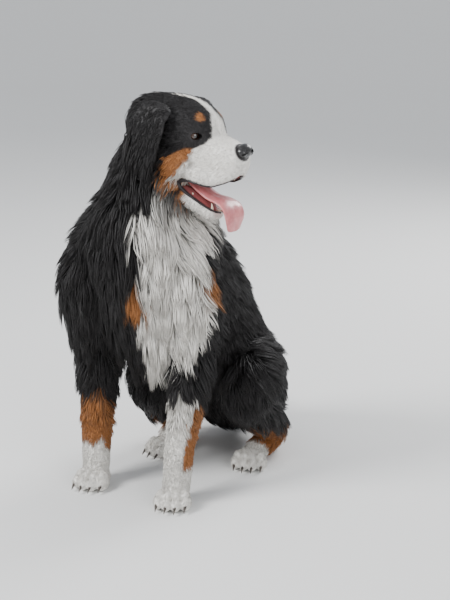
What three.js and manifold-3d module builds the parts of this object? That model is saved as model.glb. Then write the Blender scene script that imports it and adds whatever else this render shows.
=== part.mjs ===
// A sitting Bernese mountain dog, life size, in millimetres, +Z up.
// While it is shaped, the trunk faces -Y, the dog's left is +X and the floor is Z = 0.
// At the end the whole model is moved so that its origin is the middle of its bottom.
import * as THREE from 'three';
import { mergeVertices } from 'three/addons/utils/BufferGeometryUtils.js';
import { MeshSurfaceSampler } from 'three/addons/math/MeshSurfaceSampler.js';
import Module from 'manifold-3d';

const wasm = await Module();
wasm.setup();

// Driving dimensions
const GAP = 0.3;                 // space that touching pieces keep
const CORE_SHARE = 0.45;         // how far the closed coat reaches towards the tips
const HEAD_CENTRE = [85, -30, 820];
const HEAD_YAW = 78;             // the head looks to the dog's left
const HEAD_PITCH = -6;           // and slightly down
const PELVIS_X = 38;
const CHEST_X = -32;
const EYE_RADIUS = 12;
const LOCK_SPACING = 100;
const LOCK_SEED = 20244;

// Skin stations: x, y, z, half width, half depth, depth of the coat
const TRUNK = [
  [38, 372, 88, 92, 70, 40],
  [38, 318, 165, 118, 105, 42],
  [26, 232, 285, 122, 118, 42],
  [5, 140, 390, 138, 146, 45],
  [-14, 45, 480, 148, 160, 48],
  [-22, -28, 560, 128, 125, 50],
  [-12, -45, 640, 98, 108, 50],
];
const NECK = [
  [-16, -35, 590, 104, 112, 50],
  [-4, -28, 660, 94, 102, 48],
  [14, -22, 730, 86, 92, 44],
  [34, -22, 785, 74, 78, 30],
];
const SHOULDERS = {
  right: [[-78, 45, 640, 46, 62, 40], [-118, -10, 570, 54, 72, 42], [-138, -62, 490, 56, 62, 42],
    [-152, -20, 410, 54, 66, 44], [-150, 12, 345, 46, 52, 44]],
  left: [[58, 62, 640, 42, 58, 40], [80, 8, 570, 50, 66, 42], [84, -48, 490, 52, 58, 42],
    [86, 0, 410, 50, 62, 42], [84, 22, 345, 42, 50, 40]],
};
const FOREARMS = {
  right: [[-150, 12, 345, 46, 54, 40], [-151, -2, 270, 38, 46, 34], [-152, -14, 190, 31, 38, 22],
    [-151, -24, 118, 33, 33, 8], [-147, -36, 58, 32, 30, 6], [-145, -44, 30, 30, 28, 5]],
  left: [[84, 22, 345, 42, 54, 36], [80, -8, 270, 38, 46, 30], [75, -34, 190, 31, 38, 20],
    [71, -56, 118, 33, 33, 8], [71, -68, 58, 32, 30, 6], [72, -78, 30, 30, 28, 5]],
};
const FORE_PAWS = { right: [-143, -56, 4], left: [73, -92, 14] };
// The hind legs mirror one another about the middle of the pelvis: offset from it, y, z ...
const THIGH = [
  [52, 338, 175, 74, 96, 40],
  [90, 240, 200, 72, 102, 42],
  [118, 165, 212, 60, 84, 38],
  [124, 118, 206, 46, 58, 30],
];
const SHANK = [
  [124, 128, 196, 42, 50, 24],
  [128, 205, 130, 36, 42, 26],
  [128, 282, 72, 27, 34, 24],
  [125, 306, 46, 26, 30, 12],
];
const METATARSUS = [
  [125, 306, 42, 26, 30, 10],
  [119, 258, 32, 27, 26, 6],
  [113, 212, 28, 28, 24, 5],
];
const HIND_PAW = [110, 186, 12];
const TAIL = [
  [34, 392, 84, 44, 40, 26],
  [22, 452, 62, 34, 34, 30],
  [-2, 520, 50, 28, 26, 40],
  [-34, 592, 44, 23, 20, 46],
  [-68, 662, 40, 18, 15, 46],
  [-100, 728, 34, 11, 9, 40],
];

// Head, in its own frame: dog's left, forwards, up
const CRANIUM = [
  [0, -112, 6, 44, 42], [0, -88, 12, 66, 54], [0, -45, 10, 80, 66],
  [0, 0, 2, 82, 74], [0, 34, -8, 70, 68], [0, 62, -24, 54, 46],
];
const MUZZLE = [
  [0, 24, -34, 58, 42], [0, 62, -30, 50, 46], [0, 94, -34, 45, 42],
  [0, 122, -36, 42, 38], [0, 140, -34, 34, 33],
];
const FLEW = [[44, 34, -72, 12, 16], [47, 62, -76, 12, 17], [43, 92, -78, 12, 19], [34, 120, -70, 12, 15],
  [14, 138, -62, 9, 11]];
const JAW = [
  [0, 2, -112, 52, 26], [0, 34, -130, 46, 21], [0, 64, -146, 38, 19],
  [0, 90, -158, 29, 15],
];
const TONGUE = [
  [0, 18, -92, 22, 6], [0, 48, -110, 25, 7], [0, 80, -124, 26, 7], [0, 106, -127, 31, 6.5],
  [0, 127, -136, 35, 6], [0, 137, -156, 35, 5.5], [0, 137, -180, 24, 4.5],
];
const EYE = [44, 46, 5];
const NOSE = [0, 146, -14];
const EAR = [[76, -20, 50, 34, 9], [95, -34, 30, 46, 11], [106, -42, -12, 48, 10], [106, -42, -58, 38, 9],
  [100, -36, -100, 22, 7]];

// Where the coat lies along the body: [normal towards] direction of the tips
const LIE_BACK = new THREE.Vector3(0, 0.55, -0.84);
const LIE_CHEST = new THREE.Vector3(0, -0.05, -1);
const LIE_TAIL = new THREE.Vector3(-0.42, 0.9, -0.1);

const FINISH = {
  black: { color: 0x17161a, roughness: 0.75, metalness: 0 },
  white: { color: 0xe9e4da, roughness: 0.8, metalness: 0 },
  leather: { color: 0x121112, roughness: 0.35, metalness: 0 },
  eye: { color: 0x2a1509, roughness: 0.08, metalness: 0 },
  tongue: { color: 0xc4686c, roughness: 0.35, metalness: 0 },
  horn: { color: 0x2b2622, roughness: 0.4, metalness: 0 },
};

// Numbers drawn from a seed, always the same
function seeded(seed) {
  let state = seed >>> 0;
  return () => {
    state = (Math.imul(state, 1664525) + 1013904223) >>> 0;
    return state / 4294967296;
  };
}

// Closed solids from three.js geometry, and back

function solid(geometry) {
  const bare = geometry.clone();
  bare.deleteAttribute('normal');
  bare.deleteAttribute('uv');
  const merged = mergeVertices(bare, 1e-3);
  const made = new wasm.Manifold(new wasm.Mesh({
    numProp: 3,
    vertProperties: new Float32Array(merged.attributes.position.array),
    triVerts: new Uint32Array(merged.index.array),
  }));
  return made;
}

function surface(made) {
  const mesh = made.getMesh();
  const geometry = new THREE.BufferGeometry();
  geometry.setAttribute('position', new THREE.BufferAttribute(new Float32Array(mesh.vertProperties), 3));
  geometry.setIndex(new THREE.BufferAttribute(new Uint32Array(mesh.triVerts), 1));
  geometry.computeVertexNormals();
  return geometry;
}

const fuse = (pieces) => pieces.reduce((whole, piece) => whole.add(piece));

// A node keeps only its largest closed body
function largest(made) {
  const bodies = made.decompose();
  bodies.sort((a, b) => b.volume() - a.volume());
  return bodies[0];
}

// Rings along a path

// Each ring: centre, across and deep directions, half width, half depth
function wrap(rings, sides, power = 2) {
  const geometry = new THREE.SphereGeometry(1, sides, rings.length - 1);
  const spot = geometry.attributes.position;
  const point = new THREE.Vector3();
  const squarer = (value) => Math.sign(value) * Math.abs(value) ** (2 / power);
  rings.forEach((ring, row) => {
    for (let column = 0; column <= sides; column++) {
      const angle = (2 * Math.PI * (column % sides)) / sides;
      point.copy(ring.centre)
        .addScaledVector(ring.across, -squarer(Math.cos(angle)) * ring.wide)
        .addScaledVector(ring.deep, squarer(Math.sin(angle)) * ring.thick);
      spot.setXYZ(row * (sides + 1) + column, point.x, point.y, point.z);
    }
  });
  return geometry;
}

// Turns stations into rings with a domed cap at each end
function stationRings(stations, { steps = 2, hint = [1, 0, 0], grow = 0, caps = [0.7, 0.7] }) {
  const path = new THREE.CatmullRomCurve3(stations.map((s) => new THREE.Vector3(s[0], s[1], s[2])));
  const sizes = new THREE.CatmullRomCurve3(stations.map((s) => {
    const coat = (s[5] ?? 0) * CORE_SHARE + grow;
    return new THREE.Vector3(s[3] + coat, s[4] + coat, 0);
  }), false, 'catmullrom', 0.4);
  const count = (stations.length - 1) * steps;
  const side = new THREE.Vector3(...hint);
  const rings = [];
  for (let i = 0; i <= count; i++) {
    const tangent = path.getTangent(i / count);
    const across = side.clone().addScaledVector(tangent, -side.dot(tangent)).normalize();
    const deep = tangent.clone().cross(across);
    const size = sizes.getPoint(i / count);
    rings.push({ centre: path.getPoint(i / count), across, deep, wide: size.x, thick: size.y, tangent });
  }
  const dome = (ring, way, cap) => {
    const reach = cap * Math.min(ring.wide, ring.thick) * way;
    const at = (share, width) => ({
      ...ring,
      centre: ring.centre.clone().addScaledVector(ring.tangent, reach * share),
      wide: ring.wide * width,
      thick: ring.thick * width,
    });
    return [at(0.72, 0.68), at(1, 0)];
  };
  const first = dome(rings[0], -1, caps[0]).reverse();
  const last = dome(rings[count], 1, caps[1]);
  return [...first, ...rings, ...last];
}

function limb(stations, options = {}) {
  const rings = stationRings(stations, options);
  const geometry = wrap(rings, options.sides ?? 12, options.power ?? 2);
  return options.matrix ? solid(geometry.applyMatrix4(options.matrix)) : solid(geometry);
}

function ball(place, radii, { sides = 10, rings = 6, turn = [0, 0, 0], matrix = null, grow = 0 } = {}) {
  const geometry = new THREE.SphereGeometry(1, sides, rings);
  geometry.scale(radii[0] + grow, radii[1] + grow, radii[2] + grow);
  const pose = new THREE.Matrix4().compose(
    new THREE.Vector3(...place),
    new THREE.Quaternion().setFromEuler(new THREE.Euler(...turn.map(THREE.MathUtils.degToRad))),
    new THREE.Vector3(1, 1, 1),
  );
  geometry.applyMatrix4(pose);
  return solid(matrix ? geometry.applyMatrix4(matrix) : geometry);
}

// Frames of the head and paws

// The head's own axes are left (x), forwards (y), up (z); the world's forwards is -Y
function turned(centre, yaw, pitch = 0) {
  const forwards = new THREE.Vector3(0, -1, 0)
    .applyAxisAngle(new THREE.Vector3(0, 0, 1), THREE.MathUtils.degToRad(yaw));
  const left = new THREE.Vector3(0, 0, 1).cross(forwards);
  forwards.applyAxisAngle(left, THREE.MathUtils.degToRad(-pitch));
  const up = forwards.clone().cross(left);
  return { forwards, left, up, centre: new THREE.Vector3(...centre) };
}

const HEAD = turned(HEAD_CENTRE, HEAD_YAW, HEAD_PITCH);

// A point given in a frame, as x y z in the model
function within(frame, [x, forwards, up]) {
  return frame.centre.clone()
    .addScaledVector(frame.left, x)
    .addScaledVector(frame.forwards, forwards)
    .addScaledVector(frame.up, up)
    .toArray();
}

function headStations(stations, side = 1) {
  return stations.map((s) => [...within(HEAD, [s[0] * side, s[1], s[2]]), ...s.slice(3)]);
}

const headHint = (x = 1, forwards = 0, up = 0) => new THREE.Vector3()
  .addScaledVector(HEAD.left, x)
  .addScaledVector(HEAD.forwards, forwards)
  .addScaledVector(HEAD.up, up)
  .toArray();

function headBall(place, radii, options = {}) {
  const basis = new THREE.Matrix4().makeBasis(HEAD.left.clone().negate(), HEAD.forwards, HEAD.up)
    .setPosition(HEAD.centre);
  return ball([-place[0], place[1], place[2]], radii, { ...options, matrix: basis });
}

// Head pieces

function eyeBall(side, grow = 0) {
  return headBall([EYE[0] * side, EYE[1], EYE[2]], [EYE_RADIUS, EYE_RADIUS, EYE_RADIUS],
    { sides: 10, rings: 8, grow });
}

function lids(side) {
  const lidRadius = EYE_RADIUS + 3.6;
  return headBall([EYE[0] * side, EYE[1] - 1, EYE[2]], [lidRadius, lidRadius, lidRadius],
    { sides: 10, rings: 6 });
}

function lidOpening(side) {
  return headBall([(EYE[0] + 5) * side, EYE[1] + 13, EYE[2]], [13, 12, 6.4],
    { sides: 8, rings: 6, turn: [0, 8 * side, 24 * side] });
}

function noseLeather(grow = 0) {
  return headBall(NOSE, [22, 15, 17], { sides: 10, rings: 6, grow });
}

function nostrils() {
  return fuse([1, -1].map((side) => headBall([9.5 * side, NOSE[1] + 12, NOSE[2] + 1], [5, 10, 4.4],
    { sides: 6, rings: 4, turn: [0, 30 * side, 30 * side] })));
}

function ear(side, grow = 0) {
  const flap = limb(headStations(EAR, side), { sides: 10, steps: 1, hint: headHint(0, 1, 0), grow,
    caps: [0.6, 0.9] });
  if (grow > 0) return flap;
  const cup = headBall([86 * side, -36, 2], [13, 30, 44], { sides: 8, rings: 6 });
  return flap.subtract(cup);
}

function jawBone(grow = 0) {
  return limb(headStations(JAW), { sides: 12, steps: 1, power: 2.3, hint: headHint(), grow });
}

function tongue(grow = 0) {
  return limb(headStations(TONGUE), { sides: 8, steps: 1, hint: headHint(), grow, caps: [0.7, 1.4] });
}

// A curved tooth or claw as a small cone
function spike(place, direction, radius, length, { sides = 6, grow = 0 } = {}) {
  const way = new THREE.Vector3(...direction).normalize();
  const geometry = new THREE.ConeGeometry(radius + grow, length + 2 * grow, sides);
  geometry.translate(0, length / 2, 0);
  geometry.applyQuaternion(new THREE.Quaternion().setFromUnitVectors(new THREE.Vector3(0, 1, 0), way));
  geometry.translate(...place);
  return solid(geometry);
}

function teeth(count, at, reach) {
  const made = [];
  for (let i = 0; i < count; i++) {
    const { place, direction, radius, length } = at((i - (count - 1) / 2) / Math.max(1, count - 1));
    made.push(spike(within(HEAD, place), headHint(...direction), radius, length + reach, { sides: 5 }));
  }
  return made;
}

function lowerTeeth() {
  const canines = teeth(2, (across) => ({
    place: [48 * across, 88, -151], direction: [across * 0.5, 0.25, 1], radius: 5.5, length: 24 }), 0);
  const incisors = teeth(4, (across) => ({
    place: [26 * across, 97 - 4 * Math.abs(across), -152], direction: [0, 0.35, 1], radius: 3.4, length: 14 }), 0);
  return fuse([...canines, ...incisors]);
}

function upperTeeth() {
  const canines = teeth(2, (across) => ({
    place: [52 * across, 112, -52], direction: [0, 0.2, -1], radius: 6.5, length: 32 }), 0);
  const incisors = teeth(4, (across) => ({
    place: [28 * across, 124 - 4 * Math.abs(across), -56], direction: [0, 0.15, -1], radius: 3.6, length: 17 }), 0);
  return fuse([...canines, ...incisors]);
}

function headCore() {
  const across = headHint();
  const mass = [
    limb(headStations(CRANIUM), { sides: 14, steps: 1, hint: across, caps: [0.5, 0.4] }),
    limb(headStations(MUZZLE), { sides: 14, steps: 1, power: 2.5, hint: across, caps: [0.3, 0.3] }),
  ];
  for (const side of [1, -1]) {
    mass.push(limb(headStations(FLEW, side), { sides: 8, steps: 1, hint: headHint(1, 0, 0) }));
    mass.push(headBall([54 * side, -8, -52], [36, 58, 48]));
    mass.push(headBall([30 * side, 44, 34], [22, 20, 13]));
    mass.push(headBall([76 * side, -30, 44], [20, 40, 20]));
    mass.push(lids(side));
  }
  let core = fuse(mass);
  core = core.subtract(mouthCavity());
  core = core.add(upperTeeth());
  for (const side of [1, -1]) {
    core = core.subtract(lidOpening(side)).subtract(eyeBall(side, GAP));
  }
  return core;
}

// The open mouth between palate and tongue
function mouthCavity() {
  const stations = [[0, 30, -98, 30, 10], [0, 62, -92, 33, 24], [0, 96, -92, 31, 28], [0, 124, -96, 26, 28],
    [0, 150, -104, 24, 26]];
  return limb(headStations(stations), { sides: 10, steps: 1, power: 2.4, hint: headHint(), caps: [0.6, 0.6] });
}

// Paws

function toeFrames(place, yaw) {
  const frame = turned([place[0], place[1], 0], yaw);
  return [-1.5, -0.5, 0.5, 1.5].map((slot) => ({
    frame,
    across: slot * 21,
    forwards: 34 - Math.abs(slot) * 9,
    spread: slot * 6,
  }));
}

function paw(place, yaw) {
  const frame = turned([place[0], place[1], 0], yaw);
  const parts = [ball(within(frame, [0, -4, 22]), [38, 40, 24], { turn: [0, 0, yaw] })];
  for (const toe of toeFrames(place, yaw)) {
    const centre = within(frame, [toe.across, toe.forwards, 15.5]);
    parts.push(ball(centre, [13.5, 27, 18], { sides: 7, rings: 5, turn: [0, 0, yaw - toe.spread] }));
  }
  return fuse(parts);
}

function claw(place, yaw, toe, grow = 0) {
  const root = within(toe.frame, [toe.across * 1.04, toe.forwards + 19, 15]);
  const way = toe.frame.forwards.clone().multiplyScalar(0.86).add(new THREE.Vector3(0, 0, -0.5));
  return spike(root, way.toArray(), 4.2, 19, { sides: 5, grow });
}

// Body masses

function hindStations(stations, side) {
  return stations.map((s) => [PELVIS_X + s[0] * side, ...s.slice(1)]);
}

function bodyCore() {
  const masses = [
    limb(TRUNK, { sides: 16, steps: 1, caps: [0.6, 0.6] }),
    limb(NECK, { sides: 14, steps: 1, caps: [0.4, 0.4] }),
    limb(TAIL, { sides: 12, steps: 1, caps: [0.5, 1.2] }),
  ];
  for (const name of ['right', 'left']) {
    masses.push(limb(SHOULDERS[name], { sides: 12, steps: 1, caps: [0.6, 0.6] }));
    masses.push(limb(FOREARMS[name], { sides: 12, steps: 1, caps: [0.6, 0.6] }));
    masses.push(paw(FORE_PAWS[name], FORE_PAWS[name][2]));
  }
  for (const side of [1, -1]) {
    masses.push(limb(hindStations(THIGH, side), { sides: 12, steps: 1, hint: [1, 0.1 * side, 0] }));
    masses.push(limb(hindStations(SHANK, side), { sides: 12, steps: 1, caps: [0.6, 0.6] }));
    masses.push(limb(hindStations(METATARSUS, side), { sides: 12, steps: 1, caps: [0.8, 0.6] }));
    masses.push(paw([PELVIS_X + HIND_PAW[0] * side, HIND_PAW[1], 0], HIND_PAW[2] * side));
  }
  return fuse(masses);
}

// Locks of the long coat

// Finds the nearest place on a solid, with the way out of it
class Skin {
  constructor(made) {
    this.geometry = surface(made);
    const spots = this.geometry.attributes.position;
    const corners = this.geometry.index.array;
    this.triangles = [];
    for (let i = 0; i < corners.length; i += 3) {
      const triangle = new THREE.Triangle(
        ...[0, 1, 2].map((k) => new THREE.Vector3().fromBufferAttribute(spots, corners[i + k])));
      const centre = triangle.getMidpoint(new THREE.Vector3());
      const reach = Math.max(...['a', 'b', 'c'].map((k) => triangle[k].distanceTo(centre)));
      this.triangles.push({ triangle, centre, reach, corner: i });
    }
  }

  nearest(point) {
    let best = Infinity;
    let found = null;
    const spot = new THREE.Vector3();
    const closest = new THREE.Vector3();
    for (const entry of this.triangles) {
      if (entry.centre.distanceTo(point) - entry.reach > best) continue;
      entry.triangle.closestPointToPoint(point, spot);
      const distance = spot.distanceTo(point);
      if (distance < best) {
        best = distance;
        found = entry;
        closest.copy(spot);
      }
    }
    return { point: closest.clone(), normal: this.smoothNormal(found, closest) };
  }

  // Vertex normals mixed by where the point lies in its triangle
  smoothNormal(entry, point) {
    const normals = this.geometry.attributes.normal;
    const corners = this.geometry.index.array;
    const weights = entry.triangle.getBarycoord(point, new THREE.Vector3()) ?? new THREE.Vector3(1, 0, 0);
    const normal = new THREE.Vector3();
    weights.toArray().forEach((weight, k) => {
      const corner = new THREE.Vector3().fromBufferAttribute(normals, corners[entry.corner + k]);
      normal.addScaledVector(corner, weight);
    });
    return normal.normalize();
  }
}

// Which way the tips lie, and how long the locks are, at a place on the body
function lieAt(point, normal) {
  if (point.y > 448 && point.z < 140) return { way: LIE_TAIL, length: 140 };
  const front = THREE.MathUtils.smoothstep(-normal.y, 0.2, 0.7);
  const way = LIE_BACK.clone().lerp(LIE_CHEST, front);
  way.x += THREE.MathUtils.clamp((point.x - CHEST_X) / 900, -0.2, 0.2);
  const length = point.z > 330 || point.y > 120 ? 150 : 110;
  return { way, length };
}

// No long locks on the face, the lower legs or the paws
function bare(point) {
  const offset = point.clone().sub(HEAD.centre);
  const forwards = offset.dot(HEAD.forwards);
  const up = offset.dot(HEAD.up);
  if (forwards + 0.5 * up > -78 && up > -190) return true;
  const foreleg = point.y < 70 && point.z < 150;
  const hindFoot = point.y >= 70 && point.y < 350 && point.z < 75;
  return foreleg || hindFoot || point.z < 24;
}

function lock(skin, seat, draw) {
  const { way, length } = lieAt(seat.point, seat.normal);
  const size = length * (0.85 + 0.3 * draw());
  const bend = (draw() - 0.5) * 0.5;
  const wide = 47 * (0.85 + 0.3 * draw());
  const shares = [0, 0.14, 0.4, 0.66, 0.86, 1];
  const widths = [0, 0.72, 1, 0.84, 0.5, 0];
  const lifts = [-9, -6, 2, 10, 17, 21];
  const rings = [];
  let here = seat;
  const heading = way.clone();
  shares.forEach((share, i) => {
    if (i > 0) {
      const step = size * (share - shares[i - 1]);
      here = skin.nearest(here.point.clone().addScaledVector(heading, step));
    }
    heading.addScaledVector(here.normal, -heading.dot(here.normal)).normalize();
    heading.applyAxisAngle(here.normal, bend * (i > 0 ? share - shares[i - 1] : 0));
    const across = here.normal.clone().cross(heading).normalize();
    rings.push({
      centre: here.point.clone().addScaledVector(here.normal, lifts[i] + 3 * draw()),
      across,
      deep: heading.clone().cross(across),
      wide: wide * widths[i],
      thick: 7 * widths[i] ** 0.5,
    });
  });
  return solid(wrap(rings, 4));
}

// Seats spread evenly over the coat, none closer than the spacing
function lockSeats(skin, draw) {
  const sampler = new MeshSurfaceSampler(new THREE.Mesh(skin.geometry)).setRandomGenerator(draw).build();
  const seats = [];
  const point = new THREE.Vector3();
  for (let i = 0; i < 9000; i++) {
    sampler.sample(point);
    if (bare(point) || seats.some((seat) => seat.point.distanceTo(point) < LOCK_SPACING)) continue;
    seats.push(skin.nearest(point));
  }
  return seats;
}

function coatLocks(core) {
  const draw = seeded(LOCK_SEED);
  const skin = new Skin(core);
  return lockSeats(skin, draw).map((seat) => lock(skin, seat, draw));
}

// Parting the whole into its named nodes

// A region is bounded by planes, each a direction that points into it and a point on it
function region(planes, grow) {
  const block = solid(new THREE.BoxGeometry(4000, 4000, 4000));
  return planes.reduce((made, [direction, point]) => {
    const into = new THREE.Vector3(...direction).normalize();
    const offset = into.dot(new THREE.Vector3(...point)) - grow;
    return made.trimByPlane(into.toArray(), offset);
  }, block);
}

function part(whole, planes) {
  return [whole.intersect(region(planes, 0)), whole.subtract(region(planes, GAP))];
}

const REGIONS = {
  head: [[headHint(0, 0.845, 0.534), within(HEAD, [0, -100, 40])], [headHint(0, 0, 1), within(HEAD, [0, 0, -134])]],
  neck: [[[0, -0.58, 0.815], [-5, -50, 612]]],
  tail: [[[-0.3, 0.95, 0], [38, 447, 0]], [[0, 0, -1], [0, 0, 150]]],
  foreleg_right: [[[-1, 0.1, 0], [-70, 0, 0]], [[0, -1, 0], [0, 58, 0]], [[-0.2, 0, -1], [-150, 0, 352]]],
  foreleg_left: [[[1, 0, 0], [8, 0, 0]], [[0, -1, 0], [0, 58, 0]], [[0.2, 0, -1], [84, 0, 345]],
    [[0, 1, -0.32], [0, -106, 345]]],
  hindleg_right: [[[-1, 0, -0.12], [-22, 0, 0]], [[0, 1, 0], [0, 62, 0]], [[0, 0, -1], [0, 0, 330]]],
  hindleg_left: [[[1, 0, -0.12], [98, 0, 0]], [[0, 1, 0], [0, 62, 0]], [[0, 0, -1], [0, 0, 330]]],
};

const NODE_FINISH = {
  torso: 'black', neck: 'black', head: 'black', tail: 'black', foreleg_left: 'black', foreleg_right: 'black',
  hindleg_left: 'black', hindleg_right: 'black', lower_jaw: 'white', tongue: 'tongue', nose: 'leather',
  ear_left: 'black', ear_right: 'black', eye_left: 'eye', eye_right: 'eye',
};

function allPaws() {
  const paws = ['right', 'left'].map((name) => ({ name: `fore_${name}`, place: FORE_PAWS[name],
    yaw: FORE_PAWS[name][2] }));
  for (const [name, side] of [['right', -1], ['left', 1]]) {
    paws.push({ name: `hind_${name}`, place: [PELVIS_X + HIND_PAW[0] * side, HIND_PAW[1], 0],
      yaw: HIND_PAW[2] * side });
  }
  return paws;
}

function buildNodes() {
  const nodes = {};
  const core = fuse([bodyCore(), headCore()]);
  let whole = fuse([core, ...coatLocks(core)]);
  whole = whole.trimByPlane([0, 0, 1], 0);
  const names = { 1: 'left', '-1': 'right' };
  for (const side of [1, -1]) {
    nodes[`ear_${names[side]}`] = ear(side);
    nodes[`eye_${names[side]}`] = eyeBall(side);
    whole = whole.subtract(ear(side, GAP)).subtract(eyeBall(side, GAP));
  }
  nodes.nose = noseLeather().subtract(nostrils());
  nodes.tongue = tongue();
  nodes.lower_jaw = jawBone().add(lowerTeeth()).subtract(tongue(GAP));
  whole = whole.subtract(noseLeather(GAP)).subtract(jawBone(GAP)).subtract(tongue(GAP));
  for (const { name, place, yaw } of allPaws()) {
    toeFrames(place, yaw).forEach((toe, i) => {
      nodes[`claw_${name}_${i + 1}`] = claw(place, yaw, toe);
      whole = whole.subtract(claw(place, yaw, toe, GAP));
    });
  }
  for (const [name, planes] of Object.entries(REGIONS)) {
    [nodes[name], whole] = part(whole, planes);
  }
  nodes.torso = whole;
  return nodes;
}

function build() {
  const group = new THREE.Group();
  for (const [name, made] of Object.entries(buildNodes())) {
    const finish = FINISH[NODE_FINISH[name] ?? 'horn'];
    const mesh = new THREE.Mesh(surface(largest(made)), new THREE.MeshStandardMaterial(finish));
    mesh.name = name;
    group.add(mesh);
  }
  const box = new THREE.Box3().setFromObject(group);
  const middle = box.getCenter(new THREE.Vector3());
  group.position.set(-middle.x, -middle.y, -box.min.z);
  return group;
}

export default build();
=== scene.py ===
"""A sitting Bernese mountain dog, life size: skin, coat in tufts, eyes, nose, tongue, teeth and claws."""
import math
from functools import partial

import bmesh
import bpy
import numpy as np
from mathutils import Euler, Matrix, Vector
from mathutils.bvhtree import BVHTree


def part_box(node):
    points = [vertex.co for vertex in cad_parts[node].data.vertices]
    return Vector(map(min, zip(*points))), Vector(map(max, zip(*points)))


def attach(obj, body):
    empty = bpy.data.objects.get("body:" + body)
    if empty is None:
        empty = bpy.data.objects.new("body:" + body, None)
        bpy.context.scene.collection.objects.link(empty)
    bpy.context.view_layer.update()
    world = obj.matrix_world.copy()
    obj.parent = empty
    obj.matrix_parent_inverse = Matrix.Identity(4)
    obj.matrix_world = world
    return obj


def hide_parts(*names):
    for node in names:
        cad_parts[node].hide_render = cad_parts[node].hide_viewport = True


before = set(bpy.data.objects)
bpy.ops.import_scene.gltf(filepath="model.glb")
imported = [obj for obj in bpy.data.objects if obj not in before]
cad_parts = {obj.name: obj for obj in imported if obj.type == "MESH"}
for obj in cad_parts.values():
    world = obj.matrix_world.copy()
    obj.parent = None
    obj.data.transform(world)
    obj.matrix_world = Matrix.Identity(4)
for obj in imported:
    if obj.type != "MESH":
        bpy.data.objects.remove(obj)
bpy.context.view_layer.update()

MM = 0.001
SIDES = {"right": -1, "left": 1}

# The dog's own measures, in millimetres: the trunk faces -Y, its left is +X, the floor is 0
HEAD_CENTRE = (85, -30, 820)
HEAD_YAW = math.radians(78)
HEAD_PITCH = math.radians(-6)
PELVIS_X = 38
EYE_AT = (44, 46, 5)
EYE_RADIUS = 12
NOSE_AT = (0, 146, -14)
TOES = (-1.5, -0.5, 0.5, 1.5)

# Stations of the skin: x, y, z, half width, half depth
TRUNK = [
    (38, 372, 88, 92, 70), (38, 318, 165, 118, 105), (26, 232, 285, 122, 118), (5, 140, 390, 138, 146),
    (-14, 45, 480, 148, 160), (-22, -28, 560, 128, 125), (-12, -45, 640, 98, 108),
]
NECK = [(-16, -35, 590, 104, 112), (-4, -28, 660, 94, 102), (14, -22, 730, 86, 92), (34, -22, 785, 74, 78)]
SHOULDERS = {
    "right": [(-78, 45, 640, 46, 62), (-118, -10, 570, 54, 72), (-138, -62, 490, 56, 62),
              (-152, -20, 410, 54, 66), (-150, 12, 345, 46, 52)],
    "left": [(58, 62, 640, 42, 58), (80, 8, 570, 50, 66), (84, -48, 490, 52, 58), (86, 0, 410, 50, 62),
             (84, 22, 345, 42, 50)],
}
FOREARMS = {
    "right": [(-150, 12, 345, 46, 54), (-151, -2, 270, 38, 46), (-152, -14, 190, 31, 38),
              (-151, -24, 118, 32, 32), (-147, -36, 58, 31, 29), (-145, -44, 30, 30, 27)],
    "left": [(84, 22, 345, 42, 54), (80, -8, 270, 38, 46), (75, -34, 190, 31, 38), (71, -56, 118, 32, 32),
             (71, -68, 58, 31, 29), (72, -78, 30, 30, 27)],
}
FORE_PAWS = {"right": (-143, -56, 4), "left": (73, -92, 14)}
THIGH = [(52, 338, 175, 74, 96), (90, 240, 200, 72, 102), (118, 165, 212, 60, 84), (124, 118, 206, 46, 58)]
SHANK = [(124, 128, 196, 42, 50), (128, 205, 130, 36, 42), (128, 282, 72, 27, 34), (125, 306, 46, 26, 30)]
METATARSUS = [(125, 306, 42, 26, 30), (119, 258, 32, 26, 25), (113, 212, 28, 27, 23)]
HIND_PAW = (110, 186, 12)
TAIL = [
    (34, 392, 84, 44, 40), (22, 452, 62, 34, 34), (-2, 520, 50, 28, 26), (-34, 592, 44, 23, 20),
    (-68, 662, 40, 18, 15), (-100, 728, 34, 11, 9),
]

# In the head's own frame: left, forwards, up
CRANIUM = [
    (0, -112, 6, 44, 42), (0, -88, 12, 64, 53), (0, -45, 10, 76, 63), (0, 0, 2, 78, 71), (0, 34, -8, 66, 65),
    (0, 62, -24, 50, 42),
]
MUZZLE = [
    (0, 24, -34, 54, 38), (0, 62, -30, 46, 43), (0, 94, -34, 41, 39), (0, 122, -36, 38, 35),
    (0, 140, -34, 31, 31),
]
FLEW = [
    (44, 30, -72, 10, 14), (45, 62, -74, 10, 16), (41, 92, -75, 10, 18), (32, 120, -68, 10, 14),
    (13, 138, -60, 8, 10),
]
JAW = [(0, -14, -104, 52, 26), (0, 34, -130, 43, 20), (0, 64, -146, 35, 18), (0, 90, -158, 27, 14)]
TONGUE = [
    (0, 18, -92, 22, 6), (0, 48, -110, 25, 7), (0, 80, -124, 26, 7), (0, 106, -127, 31, 6.5),
    (0, 127, -136, 35, 6), (0, 137, -156, 35, 5.5), (0, 137, -180, 24, 4.5),
]
MOUTH = [
    (0, 22, -100, 30, 9), (0, 62, -94, 33, 23), (0, 96, -92, 31, 27), (0, 124, -96, 26, 27),
    (0, 152, -104, 24, 26),
]
EAR = [
    (72, -18, 50, 34, 8), (89, -32, 30, 44, 8), (98, -41, -12, 44, 7), (99, -42, -58, 34, 5.5),
    (95, -37, -98, 17, 4.5),
]

# Cheek, brow, ear's base, cheekbone and angle of the jaw: place, then radii
HEAD_BALLS = [(52, -10, -52, 30, 54, 44), (30, 44, 34, 20, 18, 12), (74, -30, 44, 18, 38, 18),
              (44, 22, -14, 22, 30, 18), (40, -24, -112, 34, 40, 30)]

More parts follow.
